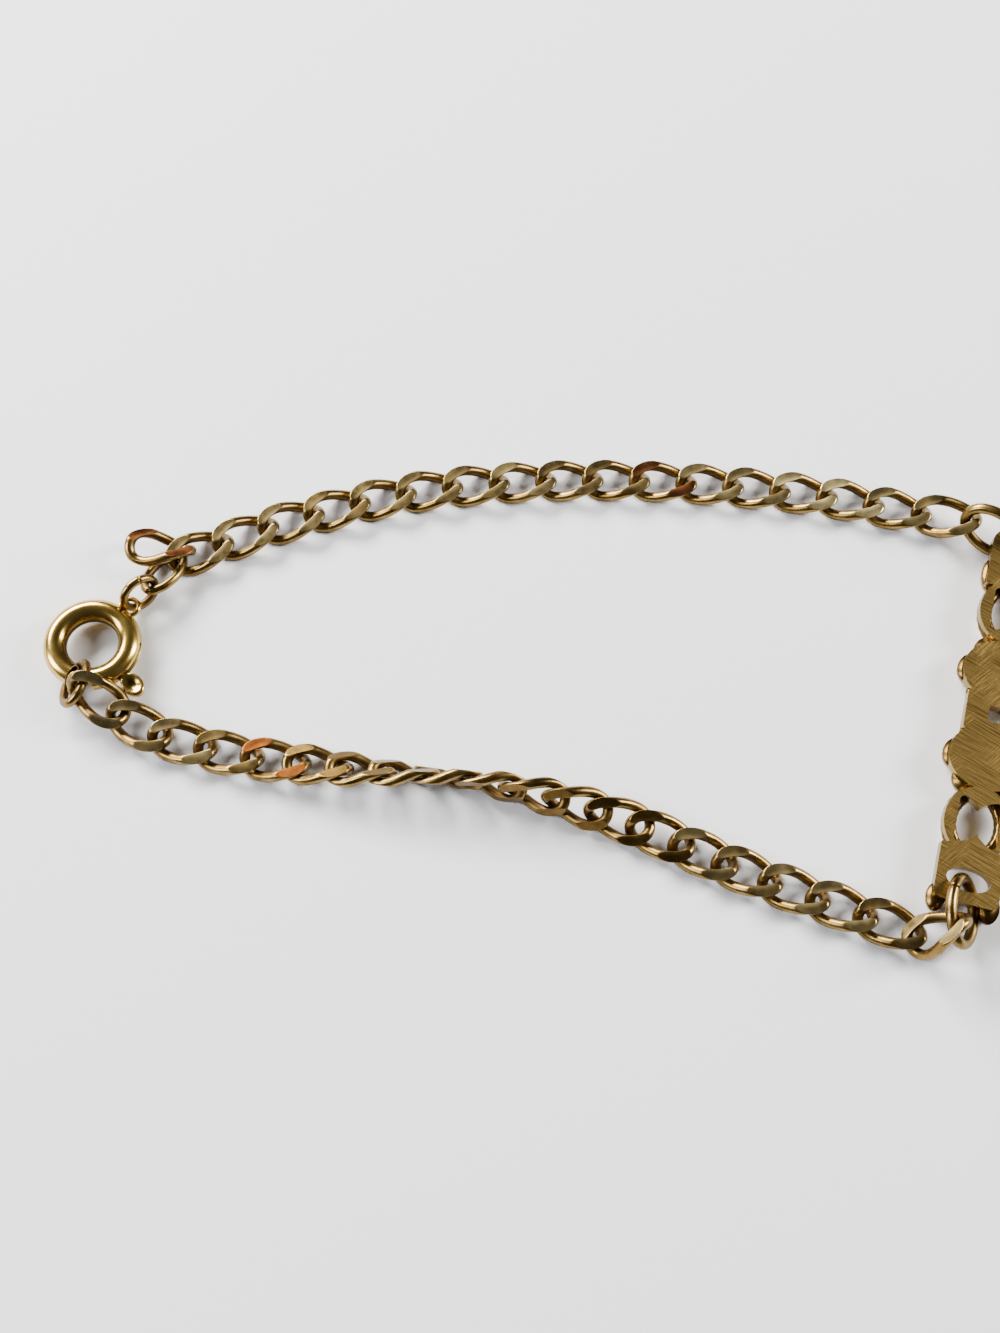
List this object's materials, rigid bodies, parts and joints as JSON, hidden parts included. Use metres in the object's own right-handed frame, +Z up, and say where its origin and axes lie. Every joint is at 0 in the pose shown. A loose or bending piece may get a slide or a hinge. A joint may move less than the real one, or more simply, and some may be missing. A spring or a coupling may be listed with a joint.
{
  "type": "curb chain bracelet",
  "caption": "Closed curb chain bracelet lying flat, with a cast pierced plaque, jump rings and a spring ring clasp whose gate opens.",
  "frame": {"origin": "bottom centre of the box around the closed bracelet, on the surface it lies on", "axes": "+X from the clasp to the plaque, +Z up from the surface, away from the plaque's front"},
  "size_m": [0.0842, 0.0432, 0.0046],
  "materials": {
    "aged_gold": "gold plated wire, filed flats bright, brown tarnish in the recesses",
    "bright_gold": "polished gold plate",
    "brushed_gold": "gold plated casting, back brushed with fine strokes"
  },
  "bodies": {
    "bracelet": {"spring_ring": "bright_gold", "plaque": "brushed_gold", "upper_link_01": "aged_gold", "upper_link_02": "aged_gold", "upper_link_03": "aged_gold", "upper_link_04": "aged_gold", "upper_link_05": "aged_gold", "upper_link_06": "aged_gold", "upper_link_07": "aged_gold", "upper_link_08": "aged_gold", "upper_link_09": "aged_gold", "upper_link_10": "aged_gold", "upper_link_11": "aged_gold", "upper_link_12": "aged_gold", "upper_link_13": "aged_gold", "upper_link_14": "aged_gold", "upper_link_15": "aged_gold", "upper_link_16": "aged_gold", "upper_link_17": "aged_gold", "lower_link_01": "aged_gold", "lower_link_02": "aged_gold", "lower_link_03": "aged_gold", "lower_link_04": "aged_gold", "lower_link_05": "aged_gold", "lower_link_06": "aged_gold", "lower_link_07": "aged_gold", "lower_link_08": "aged_gold", "lower_link_09": "aged_gold", "lower_link_10": "aged_gold", "lower_link_11": "aged_gold", "lower_link_12": "aged_gold", "lower_link_13": "aged_gold", "lower_link_14": "aged_gold", "lower_link_15": "aged_gold", "lower_link_16": "aged_gold", "lower_link_17": "aged_gold", "lower_link_18": "aged_gold", "lower_link_19": "aged_gold", "lower_link_20": "aged_gold", "tail_link": "aged_gold", "clasp_link": "aged_gold", "small_jump_ring": "aged_gold", "end_ring": "aged_gold", "upper_jump_ring": "aged_gold", "lower_jump_ring": "aged_gold"},
    "gate": {"gate_lever": "bright_gold"}
  },
  "joints": [
    {"name": "gate_swing", "type": "hinge", "parent": "bracelet", "child": "gate", "pos_m": [-0.03831, 0.00431, 0.00145], "axis": [0.0436, 0.0401, 0.9982], "range_deg": [0, 38], "stiffness_Nm_per_rad": 0.002}
  ]
}
